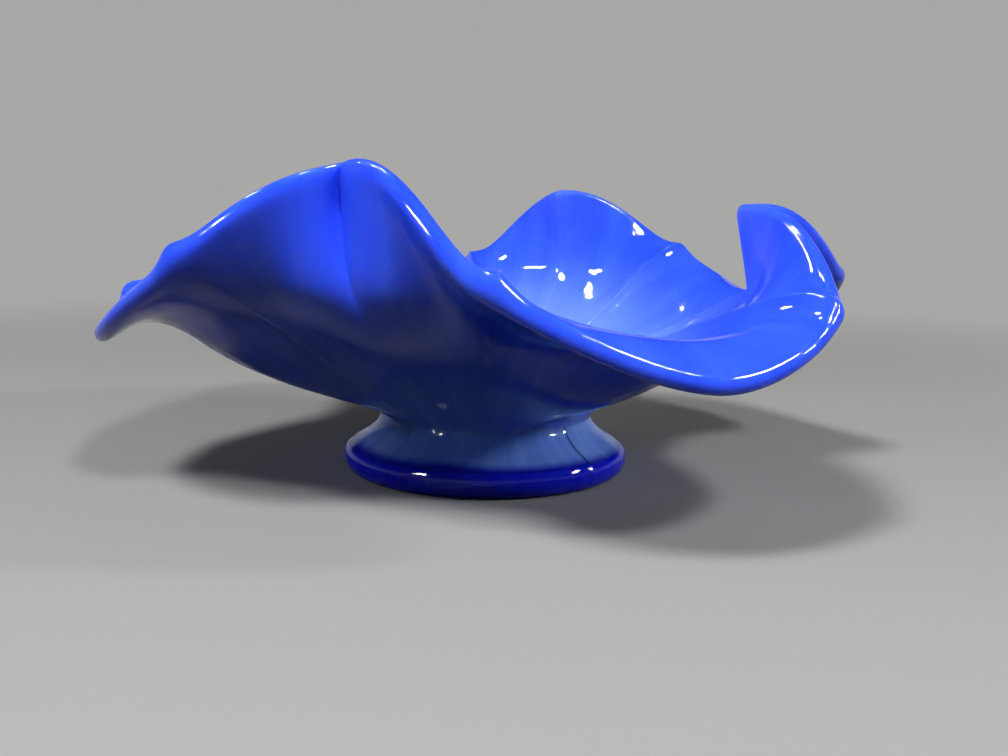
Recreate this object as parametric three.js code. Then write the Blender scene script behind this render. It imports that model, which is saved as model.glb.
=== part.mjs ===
// Glass pedestal bowl: a crimped eight-panel bowl of opaque blue glass, set on a flared hollow
// foot, which stands on a ring of clear cobalt glass.
// Millimetres, +Z up, the resting face on z = 0, the photographed side towards -Y.
// Azimuth is in degrees from +X towards +Y.
import * as THREE from 'three';

// Heights of the joints and of the well floor
const neckHeight = 17.6;
const ringHeight = 8;
const floorHeight = 25.5;

// Foot and ring
const neckRadius = 33.6;
const seatRadius = 43.9;
const lipRadius = 45.4;
const lipHeight = 5;
const restOuter = 42;
const restInner = 39;
const hollowRadius = 36;
const domeHeight = 12.9;
const bossRadius = 26;
const bossDepth = 4;
const collarRadius = 38.2;
const collarHeight = 1.2;
const jointGap = 0.3;

// How the skirt flares from the neck out to the ring: share of the way down, share of the way out
const flare = [[0.16, 0.05], [0.33, 0.155], [0.52, 0.32], [0.69, 0.53], [0.82, 0.77]];

// How the ring rounds in from its lip to its seat: share of the way in, share of the way up
const shoulder = [[0.13, 0.47], [0.5, 0.8]];

// Radius and height of the rim at its three kinds of place: a pleat pushed up and in, a moulded
// rib, and a petal that flares out and droops
const pleatRadius = 84;
const pleatHeight = 88;
const ribRadius = 112;
const ribHeight = 70.2;
const petalRadius = 115.5;
const petalHeight = 47;

// Where the middle of the wall starts beside the well, and the glass thickness there and at the rim
const rootRadius = 31.5;
const rootHeight = 25;
const rootThickness = 12;
const rimThickness = 5.4;

// Stops along the wall as shares of the way to the rim, and how thick the wall still is there,
// from 1 at the root to 0 at the rim
const wallStops = [0, 0.2, 0.38, 0.56, 0.72, 0.84, 0.92, 1];
const wallFullness = [1, 0.62, 0.32, 0.12, 0.03, 0, 0, 0];

// How far out and how far up the middle of the wall has come at each stop, as shares of the way
// from its root to the rim. A pleat turns up sharply, like a folded napkin, or more softly.
const meridians = {
  pleat: {
    radius: pleatRadius,
    height: pleatHeight,
    out: [0, 0.305, 0.6, 0.925, 1.06, 1.045, 1.022, 1],
    up: [0, 0.143, 0.262, 0.405, 0.56, 0.735, 0.868, 1],
  },
  softPleat: {
    radius: pleatRadius,
    height: pleatHeight,
    out: [0, 0.305, 0.571, 0.818, 1.018, 1.053, 1.033, 1],
    up: [0, 0.143, 0.278, 0.444, 0.595, 0.762, 0.881, 1],
  },
  rib: {
    radius: ribRadius,
    height: ribHeight,
    out: [0, 0.205, 0.379, 0.553, 0.708, 0.832, 0.913, 1],
    up: [0, 0.181, 0.361, 0.564, 0.741, 0.869, 0.947, 1],
  },
  petal: {
    radius: petalRadius,
    height: petalHeight,
    out: [0, 0.212, 0.405, 0.589, 0.744, 0.857, 0.929, 1],
    up: [0, 0.205, 0.423, 0.741, 1.136, 1.255, 1.182, 1],
  },
};

// The rim went round by hand, so no two crimps are alike: each place's azimuth, and its radius and
// height as shares of its kind's own. Crests says how full the rim stays before and after a pleat,
// tilt how far its crest tips to one side, and lean how many degrees its fold slants along the wall.
const rim = [
  { kind: 'pleat', azimuth: -111.5, reach: 1.03, lift: 1.031, crests: [0.88, 1.1], tilt: 0.9, lean: -9.8 },
  { kind: 'rib', azimuth: -90, reach: 0.982, lift: 0.913 },
  { kind: 'petal', azimuth: -65, reach: 1.048, lift: 0.957 },
  { kind: 'rib', azimuth: -45.5, reach: 1.054, lift: 0.828 },
  { kind: 'pleat', azimuth: -22, reach: 0.94, lift: 0.938, crests: [1.3, 1.35], tilt: 0, lean: 1 },
  { kind: 'rib', azimuth: 1, reach: 0.99, lift: 0.89 },
  { kind: 'petal', azimuth: 23, reach: 1, lift: 1 },
  { kind: 'rib', azimuth: 47.5, reach: 0.964, lift: 0.942 },
  { kind: 'softPleat', azimuth: 70.5, reach: 1, lift: 1, crests: [0.75, 0.6], tilt: 0, lean: 4 },
  { kind: 'rib', azimuth: 92.5, reach: 0.969, lift: 0.86 },
  { kind: 'petal', azimuth: 113, reach: 1.022, lift: 1 },
  { kind: 'rib', azimuth: 136, reach: 0.991, lift: 0.94 },
  { kind: 'softPleat', azimuth: 159, reach: 1.06, lift: 0.88, crests: [0.2, 0.2], tilt: 0, lean: -3 },
  { kind: 'rib', azimuth: 184, reach: 0.974, lift: 0.76 },
  { kind: 'petal', azimuth: 203, reach: 0.996, lift: 0.989 },
  { kind: 'rib', azimuth: 228.5, reach: 0.991, lift: 0.954 },
];
const crestHeight = 3.5;
const crestReach = 22.5;

// The fold down the middle of a pleat: how deep it is pinched, how fast the pinch fades to the
// sides, how round its bottom is, where along the wall it begins and crosses the pleat's azimuth, and
// how far to the sides the wall slants with it
const foldDepth = 5;
const foldFade = 2.6;
const foldRounding = 2.2;
const foldRadius = 82;
const foldStart = 0.45;
const foldMiddle = 0.8;
const leanReach = 9;

// Moulded rib inside each panel joint: it grows from the well to the rim, where it ends in a knob
const ridgeHeight = 3.6;
const ridgeWidth = 3.2;
const ridgeStart = 0.3;
const ridgeLow = 0.55;

// Fineness of the mesh
const columnsPerStep = 8;
const wallRows = 15;
const lipRows = 5;
const footSegments = 72;

const degrees = Math.PI / 180;
const turn = 360;

// Smooth curve through values at uneven stops
function hermite(from, to, slopeFrom, slopeTo, span, part) {
  const square = part * part;
  const cube = square * part;
  return (2 * cube - 3 * square + 1) * from
    + (cube - 2 * square + part) * span * slopeFrom
    + (3 * square - 2 * cube) * to
    + (cube - square) * span * slopeTo;
}

function alongWall(values, at) {
  const last = wallStops.length - 1;
  let k = 0;
  while (k < last - 1 && at > wallStops[k + 1]) k += 1;
  const slope = (i) => {
    const before = Math.max(i - 1, 0);
    const after = Math.min(i + 1, last);
    return (values[after] - values[before]) / (wallStops[after] - wallStops[before]);
  };
  const span = wallStops[k + 1] - wallStops[k];
  const part = (at - wallStops[k]) / span;
  return hermite(values[k], values[k + 1], slope(k), slope(k + 1), span, part);
}

// Smallest signed angle from one azimuth to another
function angleFrom(centre, azimuth) {
  return THREE.MathUtils.euclideanModulo(azimuth - centre + turn / 2, turn) - turn / 2;
}

// One station's own meridian: its kind, moved towards its place on the rim
function stationMeridian(station) {
  const kind = meridians[station.kind];
  return wallStops.map((stop, i) => {
    const pull = Math.max(0, (stop - wallStops[1]) / (1 - wallStops[1]));
    const spread = station.crests ? foldAmount(stop) : 0;
    const radius = rootRadius + (kind.radius - rootRadius) * kind.out[i];
    const height = rootHeight + (kind.height - rootHeight) * kind.up[i];
    return [
      radius + kind.radius * (station.reach - 1) * pull + spread,
      height + kind.height * (station.lift - 1) * pull,
    ];
  });
}

function foldAmount(at) {
  return foldDepth * Math.max(0, (at - foldStart) / (1 - foldStart)) ** 1.2;
}

// How far a pleat's fold lies from the pleat's own azimuth, in degrees
function leanOf(pleat, at) {
  return pleat.lean * (Math.max(at, foldStart) - foldMiddle);
}

const stations = rim.map((station) => ({ ...station, rows: stationMeridian(station) }));
const pleats = stations.filter((station) => station.crests);
const ribs = stations.filter((station) => station.kind === 'rib');

// Radius and height of the middle of the wall at every stop, for one azimuth
function meridianAt(azimuth) {
  const count = stations.length;
  const first = stations[0].azimuth;
  const here = first + THREE.MathUtils.euclideanModulo(azimuth - first, turn);
  let k = count - 1;
  while (stations[k].azimuth > here) k -= 1;
  const place = (i) => stations[(i + count) % count].azimuth + Math.floor(i / count) * turn;
  const rows = (i) => stations[(i + count) % count].rows;
  const span = place(k + 1) - place(k);
  const part = (here - place(k)) / span;
  return wallStops.map((stop, j) => {
    const value = [0, 1].map((c) => {
      const slopeFrom = (rows(k + 1)[j][c] - rows(k - 1)[j][c]) / (place(k + 1) - place(k - 1));
      const slopeTo = (rows(k + 2)[j][c] - rows(k)[j][c]) / (place(k + 2) - place(k));
      return hermite(rows(k)[j][c], rows(k + 1)[j][c], slopeFrom, slopeTo, span, part);
    });
    const rise = Math.max(0, (stop - wallStops[1]) / (1 - wallStops[1])) ** 1.5;
    for (const pleat of pleats) {
      const away = angleFrom(pleat.azimuth, azimuth);
      const side = (away - leanOf(pleat, stop)) * degrees * foldRadius;
      const soft = Math.hypot(side, foldRounding) - foldRounding;
      value[0] -= foldAmount(stop) * Math.exp(-soft / foldFade);
      if (Math.abs(away) < crestReach) {
        const fullness = pleat.crests[away < 0 ? 0 : 1];
        const wave = Math.PI * away / crestReach;
        value[1] += rise * (crestHeight * fullness * Math.sin(wave) ** 2 + pleat.tilt * Math.sin(2 * wave));
      }
    }
    return value;
  });
}

function wallPoint(azimuth, at) {
  const rows = meridianAt(azimuth);
  const radius = alongWall(rows.map((row) => row[0]), at);
  const height = alongWall(rows.map((row) => row[1]), at);
  const angle = azimuth * degrees;
  return new THREE.Vector3(radius * Math.cos(angle), radius * Math.sin(angle), height);
}

// Direction from the middle of the wall towards the inside of the bowl, and along it to the rim
function wallFrame(azimuth, at) {
  const sideStep = 0.2;
  const rowStep = 0.004;
  const low = Math.max(0, at - rowStep);
  const high = Math.min(1, at + rowStep);
  const across = wallPoint(azimuth + sideStep, at).sub(wallPoint(azimuth - sideStep, at));
  const along = wallPoint(azimuth, high).sub(wallPoint(azimuth, low)).normalize();
  const inward = new THREE.Vector3().crossVectors(along, across).normalize();
  return { inward, along };
}

// How far the ridge of a rib stands out of the inside face
function ridge(azimuth, at, radius) {
  const grown = Math.min(1, at / ridgeStart) * (ridgeLow + (1 - ridgeLow) * at ** 2);
  let height = 0;
  for (const rib of ribs) {
    const side = angleFrom(rib.azimuth, azimuth) * degrees * radius;
    height += ridgeHeight * grown * Math.exp(-((side / ridgeWidth) ** 2));
  }
  return height;
}

// Azimuths of the mesh columns, closer together at the ribs, folds and petal middles
const columns = stations.flatMap((station, k) => {
  const next = k + 1 < stations.length ? stations[k + 1].azimuth : stations[0].azimuth + turn;
  return Array.from({ length: columnsPerStep }, (unused, j) => {
    const part = j / columnsPerStep;
    const crowded = part - 0.1 * Math.sin(2 * Math.PI * part);
    return station.azimuth + (next - station.azimuth) * crowded;
  });
});

// A column near a pleat slants with its fold
function slanted(azimuth, at) {
  return pleats.reduce((sum, pleat) => {
    const away = angleFrom(pleat.azimuth, azimuth);
    return sum + leanOf(pleat, at) * Math.exp(-((away / leanReach) ** 2));
  }, azimuth);
}

// One column of points, from the floor of the well over the rim and down to the neck
function bowlColumn(azimuth) {
  const angle = azimuth * degrees;
  const round = (radius, height) => new THREE.Vector3(
    radius * Math.cos(angle),
    radius * Math.sin(angle),
    height,
  );
  const inside = [];
  const outside = [];
  for (let j = 0; j <= wallRows; j += 1) {
    const at = j / wallRows;
    const here = slanted(azimuth, at);
    const middle = wallPoint(here, at);
    const { inward, along } = wallFrame(here, at);
    const half = (rimThickness + (rootThickness - rimThickness) * alongWall(wallFullness, at)) / 2;
    const stand = ridge(here, at, Math.hypot(middle.x, middle.y));
    inside.push(middle.clone().addScaledVector(inward, half + stand));
    outside.push(middle.clone().addScaledVector(inward, -half));
    if (j === wallRows) {
      const centre = middle.clone().addScaledVector(inward, stand / 2);
      for (let i = 1; i < lipRows; i += 1) {
        const bend = Math.PI * i / lipRows;
        inside.push(centre.clone()
          .addScaledVector(inward, Math.cos(bend) * (half + stand / 2))
          .addScaledVector(along, Math.sin(bend) * (half + stand / 2)));
      }
    }
  }
  const edge = inside[0];
  const edgeRadius = Math.hypot(edge.x, edge.y);
  const floor = [0.35, 0.7].map((part) => round(
    edgeRadius * part,
    floorHeight + (edge.z - floorHeight) * part ** 2.2,
  ));
  const base = [
    round(neckRadius, neckHeight),
    round(bossRadius, neckHeight),
    round(bossRadius, neckHeight - bossDepth),
  ];
  return [...floor, ...inside, ...outside.reverse(), ...base];
}

// Closed skin from equal columns, with one point on the axis at each end
function closeColumns(points, top, bottom) {
  const rows = points[0].length;
  const count = points.length;
  const position = [...points.flat(), top, bottom].flatMap((p) => [p.x, p.y, p.z]);
  const topIndex = count * rows;
  const bottomIndex = topIndex + 1;
  const index = [];
  for (let i = 0; i < count; i += 1) {
    const a = i * rows;
    const b = ((i + 1) % count) * rows;
    index.push(topIndex, a, b);
    for (let j = 0; j < rows - 1; j += 1) {
      index.push(a + j, a + j + 1, b + j);
      index.push(b + j, a + j + 1, b + j + 1);
    }
    index.push(bottomIndex, b + rows - 1, a + rows - 1);
  }
  const geometry = new THREE.BufferGeometry();
  geometry.setAttribute('position', new THREE.Float32BufferAttribute(position, 3));
  geometry.setIndex(index);
  geometry.computeVertexNormals();
  return geometry;
}

// A body of revolution about Z from a closed outline of radius and height pairs
function revolve(outline) {
  const points = [...outline, outline[0]].map(([radius, height]) => new THREE.Vector2(radius, height));
  const geometry = new THREE.LatheGeometry(points, footSegments);
  geometry.rotateX(Math.PI / 2);
  return geometry;
}

function glass(name, color, roughness) {
  return new THREE.MeshStandardMaterial({ name, color, roughness, metalness: 0 });
}

function addPiece(group, name, geometry, material) {
  const mesh = new THREE.Mesh(geometry, material);
  mesh.name = name;
  group.add(mesh);
}

// Bowl: well, wall, ribs, pleats and rounded lip in one pour, with a round boss under the well
const bowl = closeColumns(
  columns.map(bowlColumn),
  new THREE.Vector3(0, 0, floorHeight),
  new THREE.Vector3(0, 0, neckHeight - bossDepth),
);

// Quarter of an ellipse from one point to another, without its two ends. It leaves the first point
// along the radius or along the height.
function quarter(from, to, alongRadius, steps) {
  return Array.from({ length: steps - 1 }, (unused, j) => {
    const angle = Math.PI / 2 * (j + 1) / steps;
    const early = Math.sin(angle);
    const late = 1 - Math.cos(angle);
    const [out, up] = alongRadius ? [early, late] : [late, early];
    return [from[0] + (to[0] - from[0]) * out, from[1] + (to[1] - from[1]) * up];
  });
}

// Foot: flared skirt with a throat for the boss and a rebate for the ring
const throatRadius = bossRadius + jointGap;
const rebateRadius = collarRadius + jointGap;
const rebateHeight = ringHeight + collarHeight + jointGap;
const throatEdge = [throatRadius, domeHeight];
const hollowEdge = [hollowRadius - jointGap, rebateHeight];
const skirt = flare.map(([down, out]) => [
  neckRadius + (seatRadius - neckRadius) * out,
  neckHeight + (ringHeight - neckHeight) * down,
]);
const foot = revolve([
  throatEdge,
  ...quarter(throatEdge, hollowEdge, true, 4),
  hollowEdge,
  [rebateRadius, rebateHeight],
  [rebateRadius, ringHeight],
  [seatRadius, ringHeight],
  ...skirt.reverse(),
  [neckRadius, neckHeight],
  [throatRadius, neckHeight],
]);

// Ring: rounded lip that the bowl rests on, with a collar that laps inside the skirt
const ringFoot = [restOuter, 0];
const ringLip = [lipRadius, lipHeight];
const ringSeat = [seatRadius, ringHeight];
const ringHollow = [hollowRadius, lipHeight];
const ringInner = [restInner, 0];
const ring = revolve([
  ringInner,
  ringFoot,
  ...quarter(ringFoot, ringLip, true, 4),
  ringLip,
  ...shoulder.map(([inward, up]) => [
    lipRadius + (seatRadius - lipRadius) * inward,
    lipHeight + (ringHeight - lipHeight) * up,
  ]),
  ringSeat,
  [collarRadius, ringHeight],
  [collarRadius, ringHeight + collarHeight],
  [hollowRadius, ringHeight + collarHeight],
  ringHollow,
  ...quarter(ringHollow, ringInner, false, 3),
]);

const group = new THREE.Group();
group.name = 'glass_pedestal_bowl';
addPiece(group, 'bowl', bowl, glass('opaque_blue_glass', 0x3450e6, 0.08));
addPiece(group, 'foot', foot, glass('opaque_blue_glass_foot', 0x3c50a0, 0.1));
addPiece(group, 'foot_ring', ring, glass('clear_cobalt_glass', 0x0a10c8, 0.06));

export default group;
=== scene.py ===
import math

import bmesh
import bpy
from mathutils import Matrix, Vector


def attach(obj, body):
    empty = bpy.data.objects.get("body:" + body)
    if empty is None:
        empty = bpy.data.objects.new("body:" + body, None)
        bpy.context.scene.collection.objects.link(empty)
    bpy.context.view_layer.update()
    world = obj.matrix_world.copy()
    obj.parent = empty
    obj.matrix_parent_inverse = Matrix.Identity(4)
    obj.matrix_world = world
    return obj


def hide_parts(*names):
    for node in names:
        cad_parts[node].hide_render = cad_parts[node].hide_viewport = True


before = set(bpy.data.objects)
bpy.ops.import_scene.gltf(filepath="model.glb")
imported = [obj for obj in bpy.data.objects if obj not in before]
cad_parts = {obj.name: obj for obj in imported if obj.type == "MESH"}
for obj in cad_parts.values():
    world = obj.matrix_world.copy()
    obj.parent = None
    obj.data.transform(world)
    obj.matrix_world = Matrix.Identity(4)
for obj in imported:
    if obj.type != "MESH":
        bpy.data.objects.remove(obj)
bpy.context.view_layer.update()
mm = 0.001
hair = 0.02 * mm              # points nearer than this are one point
close = 0.1 * mm              # a point this near to a height or radius lies on it


def linearColour(text):
    channels = [int(text[i:i + 2], 16) / 255 for i in (1, 3, 5)]
    return [c / 12.92 if c <= 0.04045 else ((c + 0.055) / 1.055) ** 2.4 for c in channels] + [1]


# Adds a node with its settings and links, and the stops of a colour ramp
def addNode(tree, kind, links=None, stops=(), **settings):
    node = tree.nodes.new(kind)
    for name, value in settings.items():
        setattr(node, name, value)
    for i, (place, colour) in enumerate(stops):
        points = node.color_ramp.elements
        point = points[i] if i < 2 else points.new(place)
        point.position = place
        point.color = linearColour(colour)
    for socket, value in (links or {}).items():
        if isinstance(value, bpy.types.NodeSocket):
            tree.links.new(value, node.inputs[socket])
        else:
            node.inputs[socket].default_value = value
    return node


def newMaterial(name):
    material = bpy.data.materials.new(name)
    material.use_nodes = True
    material.node_tree.nodes.clear()
    return material, material.node_tree


def bearing(azimuth):
    turn = math.radians(azimuth)
    return Vector((math.cos(turn), math.sin(turn), 0))


# What the three glasses of the bowl share
pressedGlass = {
    "ior": 1.52,              # soda-lime glass
    "streakDetail": 4,
    "streakRoughness": 0.55,
    "streakDistortion": 0.35,
    "waveScale": 120,         # the skin's long wave, about 8 mm from crest to crest
    "waveDetail": 2,
    "waveRoughness": 0.4,
    "waveHeight": 0.10 * mm,
    "seedScale": 150,         # one cell every 7 mm, of which few hold a seed
    "seedShare": 0.16,
    "seedSize": 0.08,         # share of a cell, about 0.5 mm
    "seedHeight": 0.2 * mm,
}


# A place brought down to height 0, so that its length is the distance from the bowl's axis
def outwardOf(tree, place):
    level = addNode(tree, "ShaderNodeVectorMath", {0: place, 1: (1, 1, 0)}, operation="MULTIPLY")
    return level.outputs["Vector"]


# Molten glass is pressed out from the middle, so its streaks run out along the wall: across is
# how fine they are round the bowl, along how often they change in each metre outward
def flowStreaks(tree, place, across, along):
    out = outwardOf(tree, place)
    around = addNode(tree, "ShaderNodeVectorMath", {0: out}, operation="NORMALIZE")
    reach = addNode(tree, "ShaderNodeVectorMath", {0: out}, operation="LENGTH")
    length = addNode(tree, "ShaderNodeMath", {0: reach.outputs["Value"], 1: along},
                     operation="MULTIPLY")
    outward = addNode(tree, "ShaderNodeCombineXYZ", {"Z": length.outputs["Value"]})
    flow = addNode(tree, "ShaderNodeVectorMath",
                   {0: around.outputs["Vector"], 1: outward.outputs["Vector"]}, operation="ADD")
    streaks = addNode(tree, "ShaderNodeTexNoise", {
        "Vector": flow.outputs["Vector"], "Scale": across,
        "Detail": pressedGlass["streakDetail"], "Roughness": pressedGlass["streakRoughness"],
        "Distortion": pressedGlass["streakDistortion"],
    })
    return streaks.outputs["Fac"]


# Cooled against iron: a faint wave in the skin, and here and there a seed just under it
def pressedSkin(tree, place):
    wave = addNode(tree, "ShaderNodeTexNoise", {
        "Vector": place, "Scale": pressedGlass["waveScale"],
        "Detail": pressedGlass["waveDetail"], "Roughness": pressedGlass["waveRoughness"],
    })
    soft = addNode(tree, "ShaderNodeBump", {
        "Height": wave.outputs["Fac"], "Strength": 1, "Distance": pressedGlass["waveHeight"],
    })
    cells = addNode(tree, "ShaderNodeTexVoronoi",
                    {"Vector": place, "Scale": pressedGlass["seedScale"]})
    pick = addNode(tree, "ShaderNodeSeparateColor", {"Color": cells.outputs["Color"]})
    chosen = addNode(tree, "ShaderNodeMath",
                     {0: pick.outputs["Red"], 1: pressedGlass["seedShare"]}, operation="LESS_THAN")
    dot = addNode(tree, "ShaderNodeMapRange", {
        "Value": cells.outputs["Distance"], "From Min": 0, "From Max": pressedGlass["seedSize"],
        "To Min": 1, "To Max": 0,
    }, interpolation_type="SMOOTHSTEP")
    seed = addNode(tree, "ShaderNodeMath",
                   {0: dot.outputs["Result"], 1: chosen.outputs["Value"]}, operation="MULTIPLY")
    skin = addNode(tree, "ShaderNodeBump", {
        "Height": seed.outputs["Value"], "Strength": 1, "Distance": pressedGlass["seedHeight"],
        "Normal": soft.outputs["Normal"],
    })
    return skin.outputs["Normal"]


# The mould opened in parts, and each joint left a fine fin down the foot
seams = {
    # azimuth, each one a column of the mould below, and how strongly the joint shows
    "places": ((-45, 1.0), (-131.25, 0.3), (48.75, 0.6), (135, 0.8)),
    "width": 0.9 * mm,        # to each side of the fin's crest
    "height": 0.35 * mm,
}


# 0 to 1, how near a place is to the crest of a fin
def seamLines(tree, place):
    total = 0
    for azimuth, strength in seams["places"]:
        x, y = bearing(azimuth).xy
        beside = addNode(tree, "ShaderNodeVectorMath", {0: place, 1: (-y, x, 0)},
                         operation="DOT_PRODUCT")
        ahead = addNode(tree, "ShaderNodeVectorMath", {0: place, 1: (x, y, 0)},
                        operation="DOT_PRODUCT")
        apart = addNode(tree, "ShaderNodeMath", {0: beside.outputs["Value"]}, operation="ABSOLUTE")
        near = addNode(tree, "ShaderNodeMapRange", {
            "Value": apart.outputs["Value"], "From Min": 0, "From Max": seams["width"],
            "To Min": strength, "To Max": 0,
        }, interpolation_type="SMOOTHSTEP")
        front = addNode(tree, "ShaderNodeMath", {0: ahead.outputs["Value"], 1: 0},
                        operation="GREATER_THAN")
        line = addNode(tree, "ShaderNodeMath", {
            0: near.outputs["Result"], 1: front.outputs["Value"], 2: total,
        }, operation="MULTIPLY_ADD")
        total = line.outputs["Value"]
    return total


opaqueBlue = {
    "streaks": (13, 2.0),     # across and along
    "cloudScale": 24,         # about 40 mm
    "cloudDetail": 3,
    "cloudRoughness": 0.5,
    "cloudShare": 0.45,
    "milky": ((0.36, "#6387f5"), (0.50, "#6e90f8"), (0.64, "#7a9afa")),
    "dense": ((0.34, "#2549f0"), (0.50, "#2d53f2"), (0.66, "#3960f5")),
    "milkyTo": 36 * mm,       # distance from the axis at which the pale blue begins to deepen
    "denseFrom": 96 * mm,
    "cloudRange": (0.35, 0.65),
    "roughness": (0.03, 0.055),
    "scatter": 0.5,
    "scatterReach": (0.1, 0.25, 1.0),    # of red, green and blue, as shares of the depth
    "scatterDepth": 4 * mm,
    "specular": 0.17,         # low, so that a pale floor doesn't veil the blue
}


# Opaque blue soda-lime glass, pressed and fire polished: glossy, with faint streaks, a dense blue
# at the rim that grows paler towards the well
def opaqueBlueGlass():
    material, tree = newMaterial("opaqueBlueGlass")
    place = addNode(tree, "ShaderNodeTexCoord").outputs["Object"]
    streaks = flowStreaks(tree, place, *opaqueBlue["streaks"])
    clouds = addNode(tree, "ShaderNodeTexNoise", {
        "Vector": place, "Scale": opaqueBlue["cloudScale"], "Detail": opaqueBlue["cloudDetail"],
        "Roughness": opaqueBlue["cloudRoughness"],
    })
    both = addNode(tree, "ShaderNodeMix", {
        "Factor": opaqueBlue["cloudShare"], "A": streaks, "B": clouds.outputs["Fac"],
    })
    milky, dense = (addNode(tree, "ShaderNodeValToRGB", {"Fac": both.outputs["Result"]},
                            stops=opaqueBlue[depth]) for depth in ("milky", "dense"))
    reach = addNode(tree, "ShaderNodeVectorMath", {0: outwardOf(tree, place)}, operation="LENGTH")
    rim = addNode(tree, "ShaderNodeMapRange", {
        "Value": reach.outputs["Value"], "From Min": opaqueBlue["milkyTo"],
        "From Max": opaqueBlue["denseFrom"], "To Min": 0, "To Max": 1,
    }, interpolation_type="SMOOTHSTEP")
    colour = addNode(tree, "ShaderNodeMix", {
        "Factor": rim.outputs["Result"], "A": milky.outputs["Color"], "B": dense.outputs["Color"],
    }, data_type="RGBA")
    faint, full = opaqueBlue["cloudRange"]
    smoothest, roughest = opaqueBlue["roughness"]
    gloss = addNode(tree, "ShaderNodeMapRange", {
        "Value": clouds.outputs["Fac"], "From Min": faint, "From Max": full,
        "To Min": smoothest, "To Max": roughest,
    })
    skin = addNode(tree, "ShaderNodeBsdfPrincipled", {
        "Base Color": colour.outputs["Result"],
        "Roughness": gloss.outputs["Result"],
        "IOR": pressedGlass["ior"],
        "Specular IOR Level": opaqueBlue["specular"],
        "Subsurface Weight": opaqueBlue["scatter"],
        "Subsurface Radius": opaqueBlue["scatterReach"],
        "Subsurface Scale": opaqueBlue["scatterDepth"],
        "Normal": pressedSkin(tree, place),
    })
    addNode(tree, "ShaderNodeOutputMaterial", {"Surface": skin.outputs["BSDF"]})
    return material


veiledBlue = {
    "streaks": (9, 6.0),      # across and along
    "veil": ((0.34, "#648eea"), (0.52, "#6f98f3"), (0.70, "#7ca3f9")),
    "edge": "#0c17c7",
    "edgeTo": 9.8 * mm,       # height at which the cobalt begins to clear
    "veilFrom": 12.2 * mm,
    "driftScale": 28,         # the line between them wanders, about 35 mm from wave to wave
    "driftDetail": 2,
    "driftRoughness": 0.5,
    "driftHeight": 3.2 * mm,
    # painted shade along the seam fins, where they hold back light
    "seam": "#0f2071",
    "seamShadeShare": 0.85,
    "roughness": 0.08,
    "scatter": 0.5,
    "scatterReach": (0.3, 0.5, 1.0),
    "scatterDepth": 6 * mm,
    "specular": 0.12,
}


# The same glass in the foot, where it stayed hot longest and struck to a greyer, milkier blue. Its
# last millimetres melt into the cobalt edge, and painted shade darkens the colour along the mould
# seams.
def veiledBlueGlass():
    material, tree = newMaterial("veiledBlueGlass")
    place = addNode(tree, "ShaderNodeTexCoord").outputs["Object"]
    streaks = flowStreaks(tree, place, *veiledBlue["streaks"])
    veil = addNode(tree, "ShaderNodeValToRGB", {"Fac": streaks}, stops=veiledBlue["veil"])
    apart = addNode(tree, "ShaderNodeSeparateXYZ", {"Vector": place})
    drift = addNode(tree, "ShaderNodeTexNoise", {
        "Vector": place, "Scale": veiledBlue["driftScale"], "Detail": veiledBlue["driftDetail"],
        "Roughness": veiledBlue["driftRoughness"],
    })
    height = addNode(tree, "ShaderNodeMath", {
        0: drift.outputs["Fac"], 1: veiledBlue["driftHeight"], 2: apart.outputs["Z"],
    }, operation="MULTIPLY_ADD")
    above = addNode(tree, "ShaderNodeMapRange", {
        "Value": height.outputs["Value"], "From Min": veiledBlue["edgeTo"],
        "From Max": veiledBlue["veilFrom"], "To Min": 0, "To Max": 1,
    }, interpolation_type="SMOOTHSTEP")
    body = addNode(tree, "ShaderNodeMix", {
        "Factor": above.outputs["Result"], "A": linearColour(veiledBlue["edge"]),
        "B": veil.outputs["Color"],
    }, data_type="RGBA")
    # painted shade: the colour darkens along the seam fins
    shade = addNode(tree, "ShaderNodeMath",
                    {0: seamLines(tree, place), 1: veiledBlue["seamShadeShare"]}, operation="MULTIPLY")
    colour = addNode(tree, "ShaderNodeMix", {
        "Factor": shade.outputs["Value"], "A": body.outputs["Result"],
        "B": linearColour(veiledBlue["seam"]),
    }, data_type="RGBA")
    skin = addNode(tree, "ShaderNodeBsdfPrincipled", {
        "Base Color": colour.outputs["Result"],
        "Roughness": veiledBlue["roughness"],
        "IOR": pressedGlass["ior"],
        "Specular IOR Level": veiledBlue["specular"],
        "Subsurface Weight": veiledBlue["scatter"],
        "Subsurface Radius": veiledBlue["scatterReach"],
        "Subsurface Scale": veiledBlue["scatterDepth"],
        "Normal": pressedSkin(tree, place),
    })
    addNode(tree, "ShaderNodeOutputMaterial", {"Surface": skin.outputs["BSDF"]})
    return material


clearCobalt = {
    "streaks": (7, 3.0),      # across and along
    "depth": ((0.3, "#0f15f7"), (0.5, "#1520ff"), (0.7, "#202dff")),
    "roughness": 0.05,
    "scatter": 0.7,
    "scatterReach": (0.05, 0.1, 1.0),
    "scatterDepth": 14 * mm,
    "specular": 0.25,
}


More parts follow.
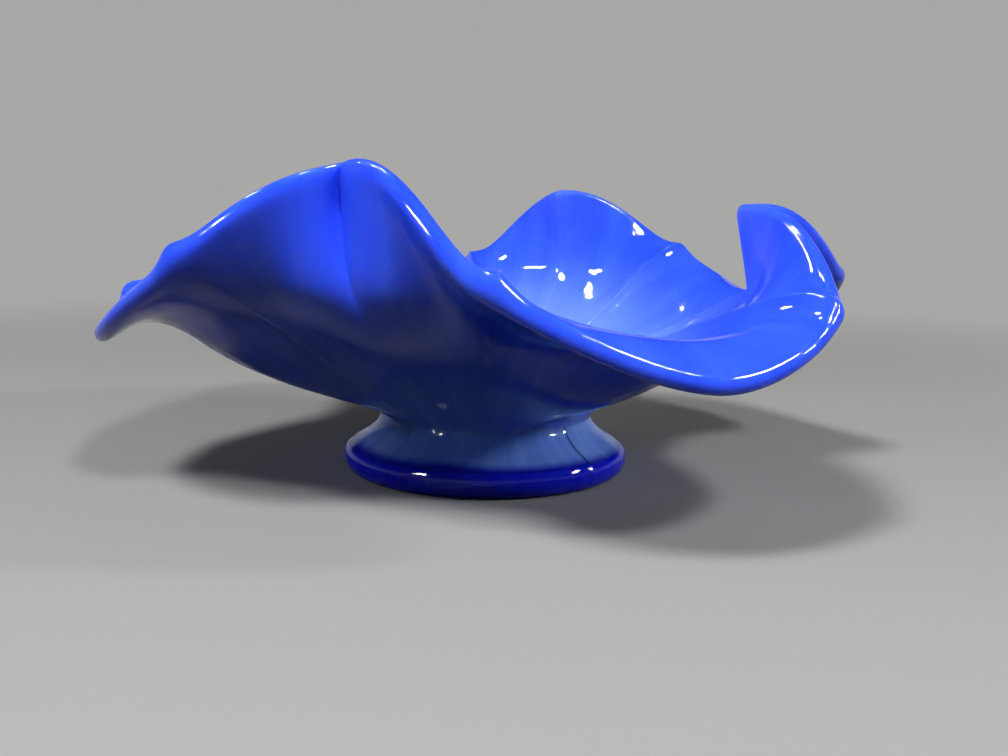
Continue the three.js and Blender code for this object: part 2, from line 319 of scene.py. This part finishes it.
# Cobalt glass at the foot's edge, with no milk in it: blue light goes far inside it and comes out
# again elsewhere, so that the edge glows, and red and green are lost on the way
def clearCobaltGlass():
    material, tree = newMaterial("clearCobaltGlass")
    place = addNode(tree, "ShaderNodeTexCoord").outputs["Object"]
    streaks = flowStreaks(tree, place, *clearCobalt["streaks"])
    colour = addNode(tree, "ShaderNodeValToRGB", {"Fac": streaks}, stops=clearCobalt["depth"])
    skin = addNode(tree, "ShaderNodeBsdfPrincipled", {
        "Base Color": colour.outputs["Color"],
        "Roughness": clearCobalt["roughness"],
        "IOR": pressedGlass["ior"],
        "Specular IOR Level": clearCobalt["specular"],
        "Subsurface Weight": clearCobalt["scatter"],
        "Subsurface Radius": clearCobalt["scatterReach"],
        "Subsurface Scale": clearCobalt["scatterDepth"],
        "Normal": pressedSkin(tree, place),
    })
    addNode(tree, "ShaderNodeOutputMaterial", {"Surface": skin.outputs["BSDF"]})
    return material


# Smooth shading, broken only where an edge has its full crease, and one body for all pieces
def addPiece(name, shape, material, subdivision, node):
    for face in shape.faces:
        face.smooth = True
    crease = shape.edges.layers.float.get("crease_edge")
    for edge in shape.edges:
        edge.smooth = edge[crease] < 1
    mesh = bpy.data.meshes.new(name)
    shape.to_mesh(mesh)
    shape.free()
    mesh.materials.append(material)
    piece = bpy.data.objects.new(name, mesh)
    bpy.context.scene.collection.objects.link(piece)
    smooth = piece.modifiers.new("subdivision", "SUBSURF")
    smooth.levels = smooth.render_levels = subdivision
    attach(piece, "root")
    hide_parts(node)


def radiusOf(vert):
    return math.hypot(vert.co.x, vert.co.y)


# The bowl is the CAD bowl with fine lines worked into it. A line follows a column of the mesh,
# whose rows are counted from the neck up the outside, over the lip at 15 to 20, and down inside.
# Each has its first and last row, its lift off the wall, its lean to the side and its crease.
bowl = {
    "panels": (-90, -45.5, 1, 47.5, 92.5, 136, 184, 228.5),    # azimuths at which panels meet
    "joint": (2, 14, 0.25 * mm, 0, 0.5),        # the mould's joint, outside
    "rib": (21, 33, 1.4 * mm, 0, 0.5),          # and the rib behind it, inside
    # the outer fold of each pleat, with its azimuth
    "folds": (
        (-111.5, 11, 14, -3.2 * mm, 2.4 * mm, 0.4),
        (-22, 12, 14, -1.2 * mm, 0.5 * mm, 0.4),
        (70.5, 12, 14, -1.2 * mm, 0.6 * mm, 0.4),
        (159, 12, 14, -1.2 * mm, 0.6 * mm, 0.4),
    ),
    "foldSide": 0.4,          # share of a fold's depth in the columns beside it
    "easeSpread": 9,          # below a fold the wall is eased: degrees to each side,
    "easeRows": (6, 11),      # rows,
    "easeTurns": 3,           # and how often
    "hairlines": (-111.5, 70.5, 159),           # inside these pleats the fold shows as a hairline
    "hairline": (20, 25, 0.35 * mm, 0, 0.8),
    "dimple": (20, 22, -1.1 * mm, 0, 0),        # and a dimple stands beside it
    "dimpleBeside": -2.4,     # degrees
    "neckRadius": 33.6 * mm,
    "neckHeight": 17.6 * mm,
    "bossRadius": 26 * mm,
    "subdivision": 2,
}


# The edge that carries straight on through a four-way corner
def straightOn(vert, edge):
    return next(other for other in vert.link_edges
                if not set(other.link_faces) & set(edge.link_faces))


# The points of one column with the edges that lead to them, from the neck to the well's middle
def columnUp(neck, azimuth):
    towards = bearing(azimuth)
    vert = max(neck, key=lambda v: v.co.dot(towards))
    edge = max(vert.link_edges, key=lambda e: e.other_vert(vert).co.z)
    while len(vert.link_edges) == 4 or vert in neck:
        vert = edge.other_vert(vert)
        yield vert, edge
        if len(vert.link_edges) == 4:
            edge = straightOn(vert, edge)


# The CAD bowl's triangles made into four-sided faces, all but those round the two poles
def squareUp(shape):
    bmesh.ops.remove_doubles(shape, verts=shape.verts, dist=hair)
    poles = {v for v in shape.verts if radiusOf(v) < close}
    walls = [f for f in shape.faces if not poles & set(f.verts)]
    bmesh.ops.join_triangles(shape, faces=walls, angle_face_threshold=math.pi,
                             angle_shape_threshold=math.pi, topology_influence=2)


# Full creases round the neck and the boss. Returns the points of the neck.
def creaseNeck(shape, crease):
    radius, height = bowl["neckRadius"], bowl["neckHeight"]
    neck = [v for v in shape.verts
            if abs(v.co.z - height) < close and abs(radiusOf(v) - radius) < 2 * close]
    neckSet = set(neck)
    for edge in shape.edges:
        level = abs(edge.verts[0].co.z - edge.verts[1].co.z) < close
        onBoss = all(radiusOf(v) < bowl["bossRadius"] + 2 * close and v.co.z < height + close
                     for v in edge.verts)
        if neckSet.issuperset(edge.verts) or onBoss and level:
            edge[crease] = 1
    return neck


def workLines(neck, crease):
    lines = [(azimuth, *bowl["joint"]) for azimuth in bowl["panels"]]
    lines += [(azimuth, *bowl["rib"]) for azimuth in bowl["panels"]]
    lines += bowl["folds"]
    lines += [(azimuth, *bowl["hairline"]) for azimuth in bowl["hairlines"]]
    lines += [(azimuth + bowl["dimpleBeside"], *bowl["dimple"]) for azimuth in bowl["hairlines"]]
    moves = {}
    for azimuth, first, last, lift, lean, sharpness in lines:
        for row, (vert, edge) in enumerate(list(columnUp(neck, azimuth))[first:last + 1]):
            edge[crease] = sharpness
            if not lean:
                moves[vert] = vert.normal * lift
                continue
            grown = (row + 1) / (last + 1 - first)    # a fold deepens and leans towards the rim
            aside = vert.normal.cross(Vector((0, 0, 1))).normalized() * lean * grown
            moves[vert] = vert.normal * lift * grown + aside
            for other in vert.link_edges:
                beside = other.other_vert(vert)
                share = lift * grown * bowl["foldSide"]
                moves.setdefault(beside, beside.normal * share + aside)
    for vert, move in moves.items():
        vert.co += move
    return len(moves)


def easeBelowFolds(shape, neck):
    first, last = bowl["easeRows"]
    sides = range(-bowl["easeSpread"], bowl["easeSpread"] + 1)
    soft = {vert for fold in bowl["folds"] for side in sides
            for vert, edge in list(columnUp(neck, fold[0] + side))[first:last]}
    for turn in range(bowl["easeTurns"]):
        bmesh.ops.smooth_vert(shape, verts=list(soft), factor=0.5,
                              use_axis_x=True, use_axis_y=True, use_axis_z=True)


def makeBowl():
    shape = bmesh.new()
    shape.from_mesh(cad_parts["bowl"].data)
    squareUp(shape)
    crease = shape.edges.layers.float.new("crease_edge")
    neck = creaseNeck(shape, crease)
    shape.normal_update()
    moved = workLines(neck, crease)
    easeBelowFolds(shape, neck)
    print("bowl:", len(shape.faces), "faces,", moved, "points in its lines")
    addPiece("bowlShell", shape, opaqueBlueGlass(), bowl["subdivision"],
             "bowl")


makeBowl()

# The foot and its ring are outlines spun round the axis. Each corner has its radius and height in
# mm and its crease, from the neck down the outside and back up the inside. A fin stands where the
# radius is more than finRadius, between the two heights of finHeights.
foot = {
    "outline": (
        (33.6, 17.6, 1), (34.1, 16.1, 0), (35.2, 14.4, 0), (36.95, 12.6, 0), (39.1, 10.95, 0),
        (41.5, 9.7, 0), (43.9, 8, 1), (38.5, 8, 1), (38.5, 9.5, 1), (35.7, 9.5, 1),
        (34.9, 10.8, 0), (32.95, 11.9, 0), (29.9, 12.6, 0), (26.3, 12.9, 1), (26.3, 17.6, 1),
    ),
    "finRadius": 33.9 * mm,
    "finHeights": (8.3 * mm, 17.3 * mm),
}
ring = {
    "outline": (
        (43.9, 8, 1), (44.65, 7.4, 0), (45.2, 6.4, 0), (45.4, 5, 0), (45.15, 3.1, 0),
        (44.4, 1.45, 0), (43.3, 0.38, 0), (42, 0, 1), (39, 0, 1), (37.5, 0.67, 0),
        (36.4, 2.5, 0), (36, 5, 0), (36, 9.2, 1), (38.2, 9.2, 1), (38.2, 8, 1),
    ),
    "finRadius": 43.0 * mm,
    "finHeights": (0.3 * mm, 7.7 * mm),
}
mould = {
    "start": -45,             # azimuth of the first column
    "columns": 96,
    "subdivision": 2,
}


# Splits the column of edges at each seam into a narrow band and lifts the line in its middle
def raiseSeams(shape, piece):
    low, high = piece["finHeights"]
    for azimuth, strength in seams["places"]:
        ahead = bearing(azimuth)
        beside = ahead.cross(Vector((0, 0, 1)))
        column = [e for e in shape.edges
                  if all(abs(v.co.dot(beside)) < hair and v.co.dot(ahead) > 0 for v in e.verts)]
        bmesh.ops.bevel(shape, geom=column, affect="EDGES", offset=seams["width"], segments=2,
                        profile=0.5, material=-1)
        for vert in shape.verts:
            onLine = abs(vert.co.dot(beside)) < hair and vert.co.dot(ahead) > piece["finRadius"]
            if onLine and low < vert.co.z < high:
                vert.co += ahead * seams["height"] * strength


def spinOutline(piece):
    shape = bmesh.new()
    start = bearing(mould["start"])
    corners = [shape.verts.new((r * mm * start.x, r * mm * start.y, z * mm))
               for r, z, sharp in piece["outline"]]
    edges = [shape.edges.new((a, b)) for a, b in zip(corners, corners[1:] + corners[:1])]
    bmesh.ops.spin(shape, geom=corners + edges, axis=(0, 0, 1), cent=(0, 0, 0),
                   angle=2 * math.pi, steps=mould["columns"], use_merge=True)
    bmesh.ops.remove_doubles(shape, verts=shape.verts, dist=hair)
    bmesh.ops.recalc_face_normals(shape, faces=shape.faces)
    crease = shape.edges.layers.float.new("crease_edge")
    sharpPlaces = [(r * mm, z * mm) for r, z, sharp in piece["outline"] if sharp]
    for edge in shape.edges:
        a, b = edge.verts
        level = abs(a.co.z - b.co.z) < hair and abs(radiusOf(a) - radiusOf(b)) < hair
        if level and any(math.hypot(radiusOf(a) - r, a.co.z - z) < close for r, z in sharpPlaces):
            edge[crease] = 1
    raiseSeams(shape, piece)
    return shape


def makeFoot():
    addPiece("footSkirt", spinOutline(foot), veiledBlueGlass(),
             mould["subdivision"], "foot")
    addPiece("footRing", spinOutline(ring), clearCobaltGlass(),
             mould["subdivision"], "foot_ring")
    print("foot and ring made")


makeFoot()

studio = {
    "floorRadius": 30,
    "floorSides": 64,
    "floor": "#949493",
    "bounce": "#3b3b39",      # what the floor throws back up on to the glass
    "horizon": "#a8a8a6",
    "overhead": "#202022",
    "horizonTo": 0.20,        # the sky's height, 0 level and 1 straight up
    "overheadFrom": 0.27,
    "fadeFrom": 0.16,         # metres at which the floor begins to fade into the horizon
    "fadeTo": 0.75,
    "ambient": 0.035,
    "aimHeight": 40 * mm,
    "panelDistance": 1.25,
    # direction from the bowl (x and y for a rise of 1), width and height, power
    "lamps": {
        "frontLeftKey": ((-0.41, -0.615), (0.22, 0.22), 14.6),
        "frontRightKey": ((0.40, -1.00), (0.14, 0.14), 8.8),
        "rightSide": ((2.00, -0.35), (0.12, 0.12), 6.4),
        "lowLeft": ((-2.10, -1.25), (0.08, 0.08), 0.8),
        "leftSide": ((-2.30, 0.20), (0.20, 0.20), 2.4),
    },
    # small bright panels, which only the gloss shows
    "glints": {
        "rightOverhead": ((0.71, -0.25), (0.22, 0.16), 25.0),
        "rightFront": ((0.55, -0.42), (0.06, 0.06), 2.6),
        "rightLow": ((1.43, 0.00), (0.10, 0.10), 6.0),
        "leftOverhead": ((-0.33, 0.33), (0.08, 0.08), 4.6),
        "nearOverhead": ((-0.12, 0.33), (0.05, 0.13), 4.5),
        "leftFront": ((-1.38, -1.00), (0.16, 0.16), 26.0),
        "backOverhead": ((-0.85, 0.50), (0.16, 0.05), 6.0),
    },
    "soft": ("frontLeftKey", "frontRightKey", "leftSide"),    # lamps that the gloss doesn't show
}


# 1 for rays from the camera, from gloss and through glass, 0 for light scattered between surfaces
def seenDirectly(tree):
    path = addNode(tree, "ShaderNodeLightPath")
    total = path.outputs["Is Camera Ray"]
    for ray in ("Is Glossy Ray", "Is Transmission Ray"):
        both = addNode(tree, "ShaderNodeMath", {0: total, 1: path.outputs[ray]}, operation="ADD",
                       use_clamp=True)
        total = both.outputs["Value"]
    return total


# A pale floor that fades into the horizon, so that no edge shows behind the bowl
def makeFloor():
    material, tree = newMaterial("paleFloor")
    seen = seenDirectly(tree)
    place = addNode(tree, "ShaderNodeTexCoord").outputs["Object"]
    far = addNode(tree, "ShaderNodeVectorMath", {0: place}, operation="LENGTH")
    fade = addNode(tree, "ShaderNodeMapRange", {
        "Value": far.outputs["Value"], "From Min": studio["fadeFrom"],
        "From Max": studio["fadeTo"], "To Min": 0, "To Max": 1,
    }, interpolation_type="SMOOTHSTEP")
    colour = addNode(tree, "ShaderNodeMix", {
        "Factor": seen, "A": linearColour(studio["bounce"]), "B": linearColour(studio["floor"]),
    }, data_type="RGBA")
    paint = addNode(tree, "ShaderNodeBsdfDiffuse", {"Color": colour.outputs["Result"]})
    haze = addNode(tree, "ShaderNodeEmission", {
        "Color": linearColour(studio["horizon"]), "Strength": 1,
    })
    distant = addNode(tree, "ShaderNodeMath", {0: fade.outputs["Result"], 1: seen},
                      operation="MULTIPLY")
    mixed = addNode(tree, "ShaderNodeMixShader", {
        0: distant.outputs["Value"], 1: paint.outputs["BSDF"], 2: haze.outputs["Emission"],
    })
    addNode(tree, "ShaderNodeOutputMaterial", {"Surface": mixed.outputs["Shader"]})
    shape = bmesh.new()
    bmesh.ops.create_circle(shape, cap_ends=True, radius=studio["floorRadius"],
                            segments=studio["floorSides"])
    mesh = bpy.data.meshes.new("floor")
    shape.to_mesh(mesh)
    shape.free()
    mesh.materials.append(material)
    floor = bpy.data.objects.new("floor", mesh)
    bpy.context.scene.collection.objects.link(floor)


def makeWorld():
    world = bpy.data.worlds.new("studio")
    bpy.context.scene.world = world
    world.use_nodes = True
    tree = world.node_tree
    tree.nodes.clear()
    place = addNode(tree, "ShaderNodeTexCoord").outputs["Generated"]
    way = addNode(tree, "ShaderNodeSeparateXYZ", {"Vector": place})
    sky = addNode(tree, "ShaderNodeValToRGB", {"Fac": way.outputs["Z"]}, stops=(
        (studio["horizonTo"], studio["horizon"]), (studio["overheadFrom"], studio["overhead"]),
    ))
    shown = addNode(tree, "ShaderNodeBackground", {"Color": sky.outputs["Color"], "Strength": 1})
    ambient = addNode(tree, "ShaderNodeBackground", {
        "Color": (1, 1, 1, 1), "Strength": studio["ambient"],
    })
    mixed = addNode(tree, "ShaderNodeMixShader", {
        0: seenDirectly(tree), 1: ambient.outputs["Background"], 2: shown.outputs["Background"],
    })
    addNode(tree, "ShaderNodeOutputWorld", {"Surface": mixed.outputs["Shader"]})


def makeLights():
    aim = Vector((0, 0, studio["aimHeight"]))
    for name, (direction, size, power) in {**studio["lamps"], **studio["glints"]}.items():
        panel = bpy.data.lights.new(name, "AREA")
        panel.shape = "RECTANGLE"
        panel.size, panel.size_y = size
        panel.energy = power
        lamp = bpy.data.objects.new(name, panel)
        bpy.context.scene.collection.objects.link(lamp)
        towards = Vector((*direction, 1)).normalized()
        lamp.location = aim + towards * studio["panelDistance"]
        lamp.rotation_euler = towards.to_track_quat("Z", "Y").to_euler()
        lamp.visible_camera = False
        lamp.visible_glossy = name not in studio["soft"]
        lamp.visible_diffuse = name not in studio["glints"]


# The photograph's viewpoint: lower than the highest pleat, 340 mm from the middle of the bowl
camera = {
    "place": (0, -340 * mm, 81.14 * mm),
    "pitch": -8.752,
    "yaw": 0.951,
    "roll": -1.083,
    "focal": 1068.3,          # in pixels of a picture 1008 wide
    "pictureWidth": 1008,
    "sensor": 36,
    "clip": (0.01, 100),
}


def makeCamera():
    pitch, yaw, roll = (math.radians(camera[turn]) for turn in ("pitch", "yaw", "roll"))
    ahead = Vector((math.sin(yaw) * math.cos(pitch), math.cos(yaw) * math.cos(pitch),
                    math.sin(pitch)))
    right = ahead.cross(Vector((0, 0, 1))).normalized()
    up = right.cross(ahead)
    turnedRight = right * math.cos(roll) - up * math.sin(roll)
    turnedUp = up * math.cos(roll) + right * math.sin(roll)
    lens = bpy.data.cameras.new("camera")
    lens.sensor_width = camera["sensor"]
    lens.lens = camera["focal"] / camera["pictureWidth"] * camera["sensor"]
    lens.clip_start, lens.clip_end = camera["clip"]
    view = bpy.data.objects.new("camera", lens)
    bpy.context.scene.collection.objects.link(view)
    turned = Matrix((turnedRight, turnedUp, -ahead)).transposed().to_4x4()
    view.matrix_world = Matrix.Translation(camera["place"]) @ turned
    bpy.context.scene.camera = view


makeFloor()
makeWorld()
makeLights()
makeCamera()
bpy.context.scene.view_settings.view_transform = "Standard"
print("studio set")
